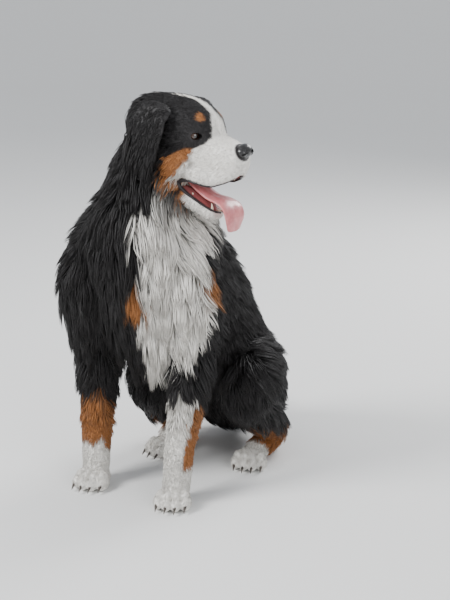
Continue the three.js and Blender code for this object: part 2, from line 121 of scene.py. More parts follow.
# The black edge of the lips, from the front of the upper lip round the corner to the front of the jaw
LIP = [
    (9, 136, -71, 1.4, 1.6), (20, 131, -76, 2.2, 2.6), (32, 118, -84, 2.4, 2.8), (40.5, 93, -93.5, 2.4, 3),
    (45, 62, -91.5, 2.6, 3.2), (46.5, 36, -90, 3.6, 4.2), (44, 19, -99, 5, 5), (42, 28, -112, 4, 4.4),
    (36, 58, -128.5, 2.8, 3.4), (28, 86, -142.5, 2.4, 3), (18, 99, -149, 2.2, 2.6), (5, 104, -152, 2, 2.2),
]

# Voxel sizes in millimetres, and the lowest heights in metres of skin, hair roots, paths and tufts
BODY_VOXEL, PAW_VOXEL, UNWRAP_VOXEL = 7.5, 3.0, 16.0
HEAD_VOXEL, HEAD_FINISH_VOXEL = 2.8, 2.7
SOLE, LOWEST_ROOT, LOWEST_PATH, LOWEST_TUFT = 0.0004, 0.001, 0.0012, 0.0003


# Places: the design's millimetres to the row frame's metres

def turned(yaw, pitch=0.0):
    """Left, forwards and up of something turned to the dog's left by yaw and up by pitch."""
    forwards = Vector((math.sin(yaw), -math.cos(yaw), 0))
    left = Vector((math.cos(yaw), math.sin(yaw), 0))
    forwards.rotate(Matrix.Rotation(-pitch, 3, left))
    return left, forwards, forwards.cross(left)


HEAD_LEFT, HEAD_FORWARDS, HEAD_UP = turned(HEAD_YAW, HEAD_PITCH)
HEAD_AXES = np.array([HEAD_LEFT, HEAD_FORWARDS, HEAD_UP])


def head_way(x, forwards, up):
    return HEAD_LEFT * x + HEAD_FORWARDS * forwards + HEAD_UP * up


def head_point(place):
    """A place in the head's frame, in the design's millimetres."""
    x, forwards, up = place
    return Vector(HEAD_CENTRE) + HEAD_LEFT * x + HEAD_FORWARDS * forwards + HEAD_UP * up


def find_shift():
    """How far the row frame's origin lies from the design's, read from where the left eye is packed."""
    low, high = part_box("eye_left")
    return (low + high) / 2 - head_point(EYE_AT) * MM


SHIFT = find_shift()


def metres(point):
    return Vector(point) * MM + SHIFT


# Shapes by bmesh operators

def spline(stations, steps):
    """Catmull-Rom through the stations, ends included."""
    rows = np.array(stations, float)
    padded = np.vstack([2 * rows[0] - rows[1], rows, 2 * rows[-1] - rows[-2]])
    out = []
    for p0, p1, p2, p3 in zip(padded, padded[1:], padded[2:], padded[3:]):
        for step in range(steps):
            t = step / steps
            out.append(0.5 * (2 * p1 + (p2 - p0) * t + (2 * p0 - 5 * p1 + 4 * p2 - p3) * t * t
                              + (3 * p1 - p0 - 3 * p2 + p3) * t ** 3))
    return [*out, rows[-1]]


def bridged(bm, loops, both=True):
    """Bridges rings of edges into a tube and closes it at the first ring, or at both ends."""
    for one, two in zip(loops, loops[1:]):
        bmesh.ops.bridge_loops(bm, edges=one + two)
    for end in (loops[0], loops[-1]) if both else loops[:1]:
        bmesh.ops.edgeloop_fill(bm, edges=end)


# Shares of the reach and of the width at the rings of a domed end
DOME = ((0.45, 0.88), (0.8, 0.6), (0.96, 0.28))


def loft(bm, stations, sides=24, steps=4, hint=(1, 0, 0), caps=(0.7, 0.7), power=2.0, in_head=False, side=1):
    """A closed limb: circles along the stations, bridged, with a domed cap at each end."""
    rows = spline(stations, steps)
    centres = [head_point((r[0] * side, r[1], r[2])) if in_head else Vector(r[:3]) for r in rows]
    hint = Vector(hint)
    rings = []
    for i, row in enumerate(rows):
        tangent = (centres[min(i + 1, len(rows) - 1)] - centres[max(i - 1, 0)]).normalized()
        across = (hint - tangent * hint.dot(tangent)).normalized()
        rings.append((centres[i], across, tangent.cross(across), tangent, row[3], row[4]))
    before = [moved(rings[0], -caps[0], share, width) for share, width in reversed(DOME)]
    after = [moved(rings[-1], caps[1], share, width) for share, width in DOME]
    bridged(bm, [circle(bm, ring, sides, power) for ring in before + rings + after])


def moved(ring, cap, share, width):
    """A smaller ring beyond the last one, for a domed end."""
    centre, across, deep, tangent, wide, thick = ring
    reach = cap * min(wide, thick) * share
    return centre + tangent * reach, across, deep, tangent, wide * width, thick * width


def circle(bm, ring, sides, power=2.0):
    """The edges of a ring; above power 2 it is squarer than an ellipse."""
    centre, across, deep, _, wide, thick = ring
    made = bmesh.ops.create_circle(bm, cap_ends=False, segments=sides, radius=1.0)["verts"]
    for vert in made:
        c, s = vert.co.x, vert.co.y
        if power != 2.0:
            c = math.copysign(abs(c) ** (2 / power), c)
            s = math.copysign(abs(s) ** (2 / power), s)
        vert.co = metres(centre + across * (c * wide) + deep * (s * thick))
    return edges_of(made)


def edges_of(verts):
    return list({edge for vert in verts for edge in vert.link_edges})


def ball(bm, place, radii, turn=(0, 0, 0), in_head=False, segments=24, rings=14):
    """An ellipsoid; radii along left, forwards and up where it is in the head."""
    shape = Matrix.Diagonal((*[r * MM for r in radii], 1))
    pose = Euler([math.radians(a) for a in turn]).to_matrix().to_4x4()
    if in_head:
        place = head_point(place)
        pose = Matrix((HEAD_LEFT, HEAD_FORWARDS, HEAD_UP)).transposed().to_4x4() @ pose
    matrix = Matrix.Translation(metres(place)) @ pose @ shape
    bmesh.ops.create_uvsphere(bm, u_segments=segments, v_segments=rings, radius=1.0, matrix=matrix)


head_loft = partial(loft, hint=HEAD_LEFT, in_head=True)
head_ball = partial(ball, in_head=True)


def cone(bm, place, direction, radius, length, bend=(0, 0, 0), sides=14, steps=7):
    """A tapered curved spike, such as a tooth or a claw. Place and direction are in the design's frame."""
    way = Vector(direction).normalized()
    side = way.orthogonal().normalized()
    loops = []
    for i in range(steps + 1):
        share = i / steps
        centre = Vector(place) + way * (length * share) + Vector(bend) * share ** 2
        size = radius * (1 - share) ** 0.62 + 0.12
        loops.append(circle(bm, (centre, side, way.cross(side), way, size, size), sides))
    bridged(bm, loops)


def linked(name, data):
    """A new object in the scene."""
    made = bpy.data.objects.new(name, data)
    bpy.context.scene.collection.objects.link(made)
    return made


def piece(name, bm):
    """A smooth mesh object from a bmesh, its faces pointing out."""
    bmesh.ops.recalc_face_normals(bm, faces=bm.faces)
    mesh = bpy.data.meshes.new(name)
    bm.to_mesh(mesh)
    bm.free()
    mesh.shade_smooth()
    return linked(name, mesh)


def dress(made, material, slot, *nodes):
    """Gives a piece its material and its place on the body, and hides the solids that it stands for."""
    made.data.materials.clear()
    made.data.materials.append(material)
    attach(made, "root")
    if nodes:
        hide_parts(*nodes)
    return made


def settled(made):
    """Applies a piece's modifiers."""
    graph = bpy.context.evaluated_depsgraph_get()
    mesh = bpy.data.meshes.new_from_object(made.evaluated_get(graph))
    made.modifiers.clear()
    made.data = mesh
    return made


def melted(made, voxel, rounds, factor=0.5):
    """One closed surface round all that a piece holds, smoothed."""
    remesh = made.modifiers.new("Remesh", "REMESH")
    remesh.mode = "VOXEL"
    remesh.voxel_size = voxel * MM
    remesh.use_smooth_shade = True
    smooth = made.modifiers.new("Smooth", "SMOOTH")
    smooth.factor = factor
    smooth.iterations = rounds
    return settled(made)


def scoop(made, shape, *where, **how):
    """Cuts a shape, such as a ball, out of a piece."""
    bm = bmesh.new()
    shape(bm, *where, **how)
    cutter = piece("cutter", bm)
    cut = made.modifiers.new("Cut", "BOOLEAN")
    cut.operation = "DIFFERENCE"
    cut.solver = "MANIFOLD"
    cut.object = cutter
    settled(made)
    bpy.data.objects.remove(cutter)


# The skin

def paw(bm, x, y, yaw):
    left, forwards, up = turned(math.radians(yaw))
    base = Vector((x, y, 0))
    ball(bm, base + up * 20 - forwards * 6, (35, 36, 21), (0, 0, yaw))
    for toe in TOES:
        centre = base + left * (toe * 21) + forwards * (36 - abs(toe) * 9) + up * 14.5
        ball(bm, centre, (10.6, 22, 14.5), (0, 0, yaw - toe * 6))
        knuckle = base + left * (toe * 18.5) + forwards * (20 - abs(toe) * 6) + up * 27
        ball(bm, knuckle, (8.8, 21, 12), (-20, 0, yaw - toe * 5))


def hind(stations, side):
    """Stations of a hind leg, on the left (1) or right (-1) of the pelvis."""
    return [(PELVIS_X + x * side, *rest) for x, *rest in stations]


def feet():
    """Each foot's name, its place and turn, and the stations of the end of its leg."""
    rows = [(f"fore_{name}", FORE_PAWS[name], FOREARMS[name][3:]) for name in SIDES]
    x, y, yaw = HIND_PAW
    for name, side in SIDES.items():
        rows.append((f"hind_{name}", (PELVIS_X + x * side, y, yaw * side), hind(METATARSUS[1:], side)))
    return rows


def body_shell():
    bm = bmesh.new()
    loft(bm, TRUNK, sides=40, caps=(0.6, 0.6))
    loft(bm, NECK, sides=36, caps=(0.4, 0.4))
    loft(bm, TAIL, sides=20, caps=(0.5, 1.2))
    for name in SIDES:
        loft(bm, SHOULDERS[name])
        loft(bm, FOREARMS[name])
    for side in (1, -1):
        for stations in (THIGH, SHANK, METATARSUS):
            loft(bm, hind(stations, side))
    return grounded(melted(piece("body_shell", bm), BODY_VOXEL, 3))


def paw_shells():
    """The four feet, finer than the body, each with the end of its leg."""
    shells = []
    for _, place, leg in feet():
        bm = bmesh.new()
        paw(bm, *place)
        loft(bm, leg)
        shells.append(grounded(melted(piece("paw_shell", bm), PAW_VOXEL, 1)))
    return shells


def grounded(shell):
    """Lifts whatever reaches below the floor to it."""
    for vert in shell.data.vertices:
        vert.co.z = max(vert.co.z, SOLE)
    return shell


def head_masses(bm):
    head_loft(bm, CRANIUM, sides=32, caps=(0.5, 0.4))
    head_loft(bm, MUZZLE, sides=32, caps=(0.3, 0.3), power=2.5)
    head_loft(bm, JAW, sides=28, power=2.3)
    loft(bm, NECK[2:], sides=36, caps=(0.2, 0.4))
    for side in (1, -1):
        head_loft(bm, FLEW, sides=18, side=side)
        head_loft(bm, EAR, hint=HEAD_FORWARDS, caps=(0.6, 0.9), side=side)
        for x, forwards, up, *radii in HEAD_BALLS:
            head_ball(bm, (x * side, forwards, up), radii)
        head_ball(bm, (EYE_AT[0] * side, EYE_AT[1] - 1, EYE_AT[2]), (EYE_RADIUS + 3.4,) * 3)
        head_ball(bm, (41 * side, 48, 19), (15, 9, 5.5), (0, 12 * side, 0))
        head_ball(bm, (44 * side, 50, -12), (12, 6, 4), (0, -8 * side, 0))


def head_shell():
    """The head, hollowed for the mouth, the slits between the lids and the eyeballs."""
    bm = bmesh.new()
    head_masses(bm)
    shell = melted(piece("head_shell", bm), HEAD_VOXEL, 4)
    scoop(shell, head_loft, MOUTH, sides=28, caps=(0.6, 0.6), power=2.4)
    x, forwards, up = EYE_AT
    for side in (1, -1):
        scoop(shell, head_ball, ((x + 5) * side, forwards + 13, up), (13, 12, 6.6), (0, 8 * side, 24 * side))
        scoop(shell, head_ball, (x * side, forwards, up), (EYE_RADIUS + 0.2,) * 3, segments=40, rings=24)
    return melted(shell, HEAD_FINISH_VOXEL, 2, 0.4)


# Fields over the dog: where hair is long, which way it lies and what colour it is

def design(points):
    """Row-frame metres to the design's millimetres, for an array of points."""
    return (points - np.array(SHIFT)) / MM


def head_frame(points):
    """The design's millimetres to left, forwards and up of the head."""
    return (points - np.array(HEAD_CENTRE)) @ HEAD_AXES.T


def halved(local):
    """Distance from the head's middle plane, forwards and up."""
    return np.abs(local[:, 0]), local[:, 1], local[:, 2]


def eased(value, low, high):
    """0 below low and 1 above high, with a smooth step between."""
    share = np.clip((value - low) / (high - low), 0, 1)
    return share * share * (3 - 2 * share)


def mixed(one, two, share):
    return one * (1 - share) + two * share


def unit(vectors):
    return vectors / np.maximum(np.linalg.norm(vectors, axis=-1, keepdims=True), 1e-9)


# Coat length at named places: left, forwards, up on the head or x, y, z on the body, reach, length
HEAD_LENGTHS = [
    (0, 110, 5, 25, 6), (42, 95, -40, 28, 7), (45, 90, -85, 20, 9), (0, 100, -165, 22, 15),
    (0, 50, 60, 28, 9), (0, -30, 80, 40, 15), (40, 50, 30, 18, 7), (50, 45, 0, 15, 5.5),
    (66, 18, -30, 24, 12), (78, -20, -60, 30, 26), (75, -60, -80, 35, 55), (40, 40, -150, 28, 18),
    (0, 0, -170, 36, 50), (0, -110, 30, 36, 40), (90, -35, 30, 26, 14), (105, -40, -50, 32, 24),
    (100, -36, -100, 22, 36),
]
BODY_LENGTHS = [
    (-90, -20, 710, 60, 80), (110, -20, 680, 60, 80), (10, 80, 720, 60, 70), (20, -120, 680, 60, 95),
    (30, -180, 600, 80, 110), (40, -190, 480, 80, 118), (40, -140, 380, 60, 128), (0, -90, 340, 50, 128),
    (-5, 130, 640, 90, 62), (10, 280, 480, 100, 62), (25, 380, 320, 100, 68), (38, 450, 180, 80, 84),
    (-160, 120, 450, 90, 84), (150, 150, 420, 90, 84), (-200, -20, 540, 80, 76), (140, 0, 540, 80, 76),
    (-205, 10, 410, 60, 128), (-195, 0, 330, 50, 112), (130, 20, 380, 60, 80), (-152, -60, 250, 36, 24),
    (80, -75, 240, 36, 24), (-152, 55, 270, 46, 104), (80, 50, 270, 42, 84), (-156, 24, 180, 36, 84),
    (74, 10, 170, 34, 60), (-151, -40, 118, 36, 13), (71, -72, 118, 36, 13), (-143, -70, 24, 46, 11),
    (73, -105, 24, 46, 11), (10, 60, 300, 70, 70), (228, 230, 220, 80, 86), (-152, 230, 220, 80, 86),
    (205, 90, 220, 46, 46), (-130, 90, 220, 46, 46), (166, 310, 110, 46, 64), (-90, 310, 110, 46, 64),
    (160, 300, 36, 36, 22), (-84, 300, 36, 36, 22), (150, 186, 20, 50, 11), (-74, 186, 20, 50, 11),
    (-20, 560, 50, 90, 118), (-100, 730, 40, 60, 110), (25, 450, 80, 50, 92),
]


def blended(points, spots):
    """Values at named places, mixed by nearness."""
    total = np.full(len(points), 1e-12)
    value = np.zeros(len(points))
    for *place, reach, amount in spots:
        weight = np.exp(-((points - np.array(place)) ** 2).sum(1) / (2 * reach * reach)) + 1e-10
        total += weight
        value += weight * amount
    return value / total


def headness(local):
    """1 on the head, 0 on the neck and body, with a sloping plane behind the skull between them."""
    behind = 0.845 * (local[:, 1] + 100) + 0.534 * (local[:, 2] - 40)
    near = eased(-np.abs(local[:, 0]), -150, -120) * eased(local[:, 2], -215, -175)
    return eased(behind, -30, 20) * near


def coat_length(points):
    """Length of the coat in millimetres."""
    mm = design(points)
    local = head_frame(mm)
    folded = np.stack(halved(local), 1)
    return mixed(blended(mm, BODY_LENGTHS), blended(folded, HEAD_LENGTHS), headness(local))


def body_lie(mm, normals):
    """Hair runs back and down, straight down in front, along the tail and forwards on the feet."""
    front = eased(-normals[:, 1], 0.2, 0.7)[:, None]
    lie = mixed(np.array([0, 0.55, -0.84]), np.array([0, -0.05, -1.0]), front)
    lie[:, 0] += np.clip((mm[:, 0] + 10) / 700, -0.28, 0.28)
    tail = eased(mm[:, 1], 425, 465)[:, None] * eased(-mm[:, 2], -150, -120)[:, None]
    lie = mixed(lie, np.array([-0.42, 0.9, -0.15]), tail)
    foot = (eased(-mm[:, 2], -70, -40) * eased(-mm[:, 1], -330, -310))[:, None]
    return mixed(lie, np.array([0, -0.9, -0.3]), foot)


def head_lie(local):
    """Hair runs back, and lower down it falls; it falls along the ears and turns away round the eyes."""
    left, forwards, up = HEAD_AXES
    low = eased(-local[:, 2], -10, 70)[:, None]
    lie = -forwards * (1 - 0.45 * low) - up * (0.12 + 0.75 * low)
    lie += left * np.sign(local[:, 0:1]) * 0.25
    ear = (eased(np.abs(local[:, 0]), 80, 92) * eased(-local[:, 1], -8, 8))[:, None]
    lie = mixed(lie, -up - forwards * 0.12, ear)
    for sign in (1, -1):
        away = local - np.array([EYE_AT[0] * sign, EYE_AT[1], EYE_AT[2]])
        distance = np.linalg.norm(away, axis=1, keepdims=True)
        push = np.exp(-np.maximum(distance - 14, 0) / 9) * 1.6
        lie += push * (away / distance) @ HEAD_AXES
    return lie


def coat_lie(points, normals):
    """Which way the hair lies, along the surface."""
    mm = design(points)
    local = head_frame(mm)
    way = mixed(unit(body_lie(mm, normals)), unit(head_lie(local)), headness(local)[:, None])
    way -= normals * (way * normals).sum(1, keepdims=True)
    return unit(way)


# The white bib: its middle and half width, in degrees round the chest from straight ahead, by height
BIB_HEIGHTS = [268, 285, 330, 390, 470, 560, 600, 640, 690, 735]
BIB_MIDDLE = [27, 27, 31, 35, 37, 35, 42, 52, 62, 72]
BIB_HALF = [0, 9, 20, 29, 26, 20, 27, 42, 50, 42]


def chest_angle(mm):
    return np.degrees(np.arctan2(mm[:, 0] + 14, -(mm[:, 1] - 20)))


def bib_share(mm):
    """White bib and throat, by the angle round the chest and the height."""
    height = mm[:, 2]
    middle = np.interp(height, BIB_HEIGHTS, BIB_MIDDLE)
    half = np.interp(height, BIB_HEIGHTS, BIB_HALF)
    wave = 3.0 * np.sin(height / 17) + 2.5 * np.sin(height / 7.3 + 1.3)
    inside = half - np.abs(chest_angle(mm) - middle) + wave
    return eased(inside, -2.5, 2.5) * eased(-mm[:, 1], -60, 20) * (height > BIB_HEIGHTS[0])


# Where the white of the face begins, forwards by height, where its cheek strip ends below,
# and the blaze's half width by forwards
WHITE_HEIGHTS = [-112, -97, -72, -38, -20, -10, 5, 20]
WHITE_FROM = [22, 7, 30, 46, 58, 74, 84, 86]
STRIP_FORWARDS = [5, 20, 35, 49, 62]
STRIP_BELOW = [-102, -90, -84, -98, -125]
BLAZE_FORWARDS = [-40, -30, -5, 40, 62, 80, 96]
BLAZE_HALF = [0, 6, 8.5, 8, 10, 24, 46]


def face_white(local):
    x, f, z = halved(local)
    ragged = 1.6 * np.sin(z / 3.1 + x / 5) + 1.2 * np.sin(f / 2.7 + z / 6)
    edge = np.interp(z, WHITE_HEIGHTS, WHITE_FROM) + ragged
    below = np.interp(f, STRIP_FORWARDS, STRIP_BELOW)
    muzzle = eased(f - edge, -3, 3) * eased(z - below, -3, 3)
    jaw = eased(-z, 100, 108) * eased(f + 0.2 * (z + 120), 30, 40)
    width = np.interp(f, BLAZE_FORWARDS, BLAZE_HALF) + 0.6 * ragged
    blaze = eased(width - x, -1.5, 1.5) * eased(z, -12, 0)
    throat = eased(-z + 0.12 * f, 152, 162) * eased(f, -104, -90)
    return np.maximum.reduce([muzzle, blaze, jaw, throat])


def face_rust(local):
    """Spots over the eyes, and the cheeks behind the white."""
    x, f, z = halved(local)
    brow = eased(11 - np.hypot((x - 33) * 0.9, f - 53) - 0.5 * np.abs(z - 38), -2, 2)
    edge = np.interp(z, WHITE_HEIGHTS, WHITE_FROM)
    above = np.interp(z, [-140, -110, -70, -40, -22], [-14, -14, 18, 18, 2])
    ragged = 3 * np.sin(z / 6.1 + x / 9) + 2 * np.sin(f / 4.7)
    band = eased(f - edge + 16 + above + ragged, -4, 4) * eased(-z, 16, 26) * eased(z, -152, -138)
    return np.maximum(brow, band)


# The middle of each foreleg's shin, forwards by height
SHIN_HEIGHTS = [58, 118, 190, 270]
SHIN_MIDDLE = {"right": [-36, -24, -14, -2], "left": [-68, -56, -34, -8]}
WHITE_TOP = {"right": 104, "left": 262}


def leg_marks(mm):
    """White feet and rust above them, as (white, rust)."""
    x, y, z = mm.T
    ragged = 7 * np.sin(x / 9 + y / 13) + 5 * np.sin(y / 6.3 - x / 17 + 1.7)
    white, rust = np.zeros(len(mm)), np.zeros(len(mm))
    for name, chosen in (("right", x < -80), ("left", x > 20)):
        chosen = chosen & (y < 62) & (z < 330)
        ahead = np.interp(z, SHIN_HEIGHTS, SHIN_MIDDLE[name]) - y
        inner = np.abs(x) - 78 if name == "left" else 0
        stripe = eased(ahead - 0.6 * inner, 12, 21) * eased(WHITE_TOP[name] - z + ragged, -8, 8)
        sock = eased(86 - z + 0.5 * ragged, -6, 6)
        white[chosen] = np.maximum(stripe, sock)[chosen]
        rust[chosen] = eased(215 - z - 0.55 * (y + 30) + 1.5 * ragged, -12, 12)[chosen]
    chosen = (y > 62) & (y < 345) & (np.abs(x - PELVIS_X) > 60)
    white[chosen] = (eased(232 - y + ragged, -6, 6) * eased(54 - z, -5, 5))[chosen]
    rust[chosen] = eased(112 - z - 0.1 * (y - 200) + 1.5 * ragged, -8, 8)[chosen]
    return white, rust


def body_rust(mm):
    """A patch on each side of the bib, and under the tail."""
    patch = np.zeros(len(mm))
    for side in (-1, 1):
        offset = np.hypot((chest_angle(mm) - 36 - side * 27) / 10, (mm[:, 2] - 520) / 36)
        patch = np.maximum(patch, eased(1 - offset, -0.2, 0.2) * (mm[:, 1] < 60))
    vent = eased(46 - mm[:, 2], -6, 6) * (mm[:, 1] > 425) * (mm[:, 1] < 455)
    return np.maximum(patch, vent)


def marks(points):
    """White and rust shares of the coat at an array of points; the rest is black."""
    mm = design(points)
    local = head_frame(mm)
    leg_white, leg_rust = leg_marks(mm)
    tail_tip = eased(mm[:, 1] - 0.46 * mm[:, 0], 708, 722) * (mm[:, 1] > 500)
    body_white = np.maximum.reduce([bib_share(mm), leg_white, tail_tip])
    share = headness(local)
    white = mixed(body_white, face_white(local), share)
    rust = mixed(np.maximum(leg_rust, body_rust(mm)), face_rust(local), share)
    return white, rust * (1 - white)


# The mouth's hollow by forwards: its middle's height, half height and half width; then the jaw's rim
MOUTH_FORWARDS = [12, 22, 62, 96, 124, 152]
MOUTH_MIDDLE = [-100, -100, -94, -92, -96, -104]
MOUTH_HIGH = [2, 10, 25, 29, 29, 28]
MOUTH_WIDE = [12, 31, 35, 33, 29, 26]
RIM_FORWARDS = [19, 28, 58, 86, 104]
RIM_WIDE = [44, 42, 36, 28, 10]
RIM_HEIGHT = [-99, -112, -128.5, -142.5, -152]


def bare_share(points):
    """1 where the skin has no hair: lips, lids, the mouth's inside and the nose; then the mouth alone."""
    x, f, z = halved(head_frame(design(points)))
    eye = np.sqrt((x - EYE_AT[0]) ** 2 + (f - EYE_AT[1]) ** 2 + (z - EYE_AT[2]) ** 2)
    lid = eased(EYE_RADIUS + 3.6 - eye, -0.6, 0.6)
    nose = np.sqrt((x / 20) ** 2 + ((f - NOSE_AT[1]) / 15) ** 2 + ((z - NOSE_AT[2]) / 16) ** 2)
    middle, high, wide = (np.interp(f, MOUTH_FORWARDS, row) for row in (MOUTH_MIDDLE, MOUTH_HIGH, MOUTH_WIDE))
    inside = np.hypot(x / wide, (z - middle) / high)
    mouth = eased(1.08 - inside, -0.05, 0.05) * (f > 8)
    rim_wide, rim_height = (np.interp(f, RIM_FORWARDS, row) for row in (RIM_WIDE, RIM_HEIGHT))
    floor = eased(rim_wide - x, -1, 1) * eased(z - rim_height, -5, -2) * eased(middle - z, -1, 1)
    mouth = np.maximum(mouth, floor * (f > 18) * (f < 108))
    lips = eased(1.24 - inside, -0.05, 0.05) * (f > 12)
    return np.maximum.reduce([lid, eased(1.35 - nose, -0.1, 0.1), mouth, lips]), mouth


# Materials

class Nodes:
    """Short calls for a material's nodes."""

    def __init__(self, name, roughness, specular, **inputs):
        self.material = bpy.data.materials.new(name)
        self.material.use_nodes = True
        self.tree = self.material.node_tree
        self.shader = self.tree.nodes["Principled BSDF"]
        for name, value in dict(inputs, Roughness=roughness, Specular_IOR_Level=specular).items():
            self.give(self.shader.inputs[name.replace("_", " ")], value)

    def give(self, target, value):
        """Joins an input to a socket, or sets it to a plain value."""
        if isinstance(value, bpy.types.NodeSocket):
            self.tree.links.new(value, target)
        else:
            target.default_value = value

    def add(self, kind, numbered=(), **named):
        """A node with its numbered inputs, and its settings and inputs by name."""
        node = self.tree.nodes.new(f"ShaderNode{kind}")
        for name, value in named.items():
            if hasattr(node, name):
                setattr(node, name, value)
            else:
                self.give(node.inputs[name], value)
        for number, value in numbered:
            self.give(node.inputs[number], value)
        return node

    def mix(self, factor, one, two, blend="MIX"):
        inputs = ((0, factor), (6, one), (7, two))
        return self.add("Mix", inputs, data_type="RGBA", blend_type=blend).outputs[2]

    def maths(self, operation, one, two=0.5):
        return self.add("Math", ((0, one), (1, two)), operation=operation).outputs[0]

    def place(self):
        return self.add("TexCoord").outputs["Object"]

    def noise(self, scale, detail=3.0, roughness=0.55, vector=None):
        vector = self.place() if vector is None else vector
        node = self.add("TexNoise", Vector=vector, Scale=scale, Detail=detail, Roughness=roughness)
        return node.outputs["Fac"]

    def ramp(self, factor, *stops):
        node = self.add("ValToRGB", Fac=factor)
        elements = node.color_ramp.elements
        while len(elements) < len(stops):
            elements.new(0.5)
        for element, (place, colour) in zip(elements, stops):
            element.position = place
            element.color = (*colour, 1)
        return node.outputs["Color"]

    def attribute(self, name):
        """An attribute of the mesh: its red, green and blue parts, and its alpha."""
        node = self.add("Attribute", attribute_name=name)
        return *self.add("SeparateColor", Color=node.outputs["Color"]).outputs, node.outputs["Alpha"]

    def bump(self, height, strength, distance):
        node = self.add("Bump", Strength=strength, Distance=distance, Height=height)
        self.give(self.shader.inputs["Normal"], node.outputs["Normal"])

    def colour(self, socket):
        self.give(self.shader.inputs["Base Color"], socket)


# Each coat colour's darker and lighter tone, and bare skin
BLACK = ((0.0055, 0.005, 0.0055, 1), (0.019, 0.017, 0.0175, 1))
RUST = ((0.235, 0.082, 0.022, 1), (0.42, 0.175, 0.058, 1))
WHITE = ((0.70, 0.67, 0.61, 1), (0.90, 0.885, 0.85, 1))
BARE = (0.020, 0.016, 0.017, 1)
GUM = (0.30, 0.085, 0.085, 1)


def markings(nodes, tone):
    """Base colour of the coat from the Marks attribute, then its shade and its share of long hair."""
    is_white, is_rust, shade, long = nodes.attribute("Marks")
    black, rust, white = (nodes.mix(tone, *tones) for tones in (BLACK, RUST, WHITE))
    return nodes.mix(is_white, nodes.mix(is_rust, black, rust), white), shade, long


def coat_material():
    """Hair in tufts: fine strands along each tuft, painted shade that darkens the roots, a soft silky gloss.
    """
    nodes = Nodes("Coat", 0.46, 0.3)
    strand = nodes.add("UVMap", uv_map="Strand").outputs["UV"]
    stretched = nodes.add("Mapping", vector_type="POINT", Vector=strand, Scale=(9.0, 0.7, 1.0))
    hairs = nodes.noise(5.0, 4.0, 0.6, stretched.outputs["Vector"])
    along = nodes.maths("FRACT", nodes.add("SeparateXYZ", Vector=strand).outputs["Y"])
    # The tone runs from darker at the root to lighter at the tip as painted shade within the coat, mixed with
    # random strands
    tone = nodes.maths("MULTIPLY", nodes.maths("ADD", nodes.maths("MULTIPLY", along, 0.45), hairs), 0.72)
    colour, shade, long = markings(nodes, tone)
    # Painted shade: long hair is darkened towards its roots, where the coat shades itself, and is a little
    # lighter at its tips
    root = nodes.ramp(along, (0.0, (0.4, 0.39, 0.37)), (0.55, (0.95, 0.95, 0.95)), (1.0, (1.08, 1.06, 1.04)))
    dark = nodes.mix(long, colour, nodes.mix(1.0, colour, root, "MULTIPLY"))
    tint = nodes.ramp(shade, (0.0, (0.78, 0.77, 0.76)), (1.0, (1.12, 1.12, 1.12)))
    nodes.colour(nodes.mix(1.0, dark, tint, "MULTIPLY"))
    nodes.bump(hairs, 0.5, 0.0012)
    return nodes.material


def skin_material():
    """Short flat hair as bump and tone, and the bare skin of lips, lids and gums."""
    nodes = Nodes("Skin", 0.55, 0.35)
    hairs = nodes.noise(520.0, 4.0, 0.65)
    colour, _, _ = markings(nodes, hairs)
    bare, mouth, _, _ = nodes.attribute("Bare")
    flesh = nodes.mix(mouth, BARE, GUM)
    flesh = nodes.mix(nodes.maths("MULTIPLY", nodes.noise(900.0, 2.0), 0.3), flesh, (0.0, 0.0, 0.0, 1))
    nodes.colour(nodes.mix(bare, colour, flesh))
    gloss = nodes.mix(bare, (0.62, 0.62, 0.62, 1), (0.3, 0.3, 0.3, 1))
    nodes.give(nodes.shader.inputs["Roughness"], gloss)
    nodes.bump(hairs, 0.55, 0.0011)
    return nodes.material


def nose_material():
    nodes = Nodes("Nose_leather", 0.34, 0.5, Coat_Weight=0.25, Coat_Roughness=0.2)
    cells = nodes.add("TexVoronoi", feature="DISTANCE_TO_EDGE", Vector=nodes.place(), Scale=480.0)
    edge = cells.outputs["Distance"]
    nodes.colour(nodes.ramp(edge, (0.0, (0.004, 0.004, 0.004)), (0.35, (0.018, 0.016, 0.017))))
    nodes.bump(edge, 0.3, 0.0006)
    return nodes.material


def tongue_material():
    nodes = Nodes("Tongue", 0.32, 0.5, Subsurface_Weight=0.15, Subsurface_Scale=0.01, Coat_Weight=0.3,
                  Coat_Roughness=0.15)
    nodes.colour(nodes.ramp(nodes.noise(60.0), (0.3, (0.46, 0.12, 0.13)), (0.7, (0.62, 0.22, 0.22))))
    nodes.bump(nodes.noise(900.0, 2.0), 0.4, 0.0008)
    return nodes.material


def eye_material():
    """Brown iris round a dark pupil, from how far each point turns away from the gaze."""
    nodes = Nodes("Eye", 0.04, 0.6, Coat_Weight=1.0, Coat_Roughness=0.02)
    gaze = nodes.add("Attribute", attribute_name="Gaze").outputs["Fac"]
    spread = nodes.maths("ADD", gaze, nodes.maths("MULTIPLY", nodes.noise(1400.0), 0.06))
    nodes.colour(nodes.ramp(spread, (0.0, (0.001, 0.001, 0.001)), (0.27, (0.0015, 0.001, 0.001)),
                            (0.31, (0.035, 0.013, 0.005)), (0.52, (0.062, 0.023, 0.008)),
                            (0.68, (0.018, 0.008, 0.004)), (0.76, (0.005, 0.003, 0.003)),
                            (0.92, (0.10, 0.07, 0.06))))
    return nodes.material


def grained(name, roughness, specular, scale, detail, dark, light, bump=None):
    """A material of two tones mixed by a grain, which may stand out as a bump too."""
    nodes = Nodes(name, roughness, specular)
    grain = nodes.noise(scale, detail)
    nodes.colour(nodes.ramp(grain, (0.3, dark), (0.7, light)))
    if bump:
        nodes.bump(grain, *bump)
    return nodes.material


def tooth_material():
    return grained("Tooth", 0.22, 0.5, 90.0, 3.0, (0.62, 0.52, 0.36), (0.84, 0.79, 0.68))


def claw_material():
    dark, light = (0.022, 0.018, 0.015), (0.085, 0.068, 0.054)
    return grained("Claw_horn", 0.38, 0.5, 240.0, 3.0, dark, light, (0.3, 0.0006))


def whisker_material():
    return grained("Whisker", 0.4, 0.4, 80.0, 2.0, (0.62, 0.6, 0.56), (0.8, 0.79, 0.76))


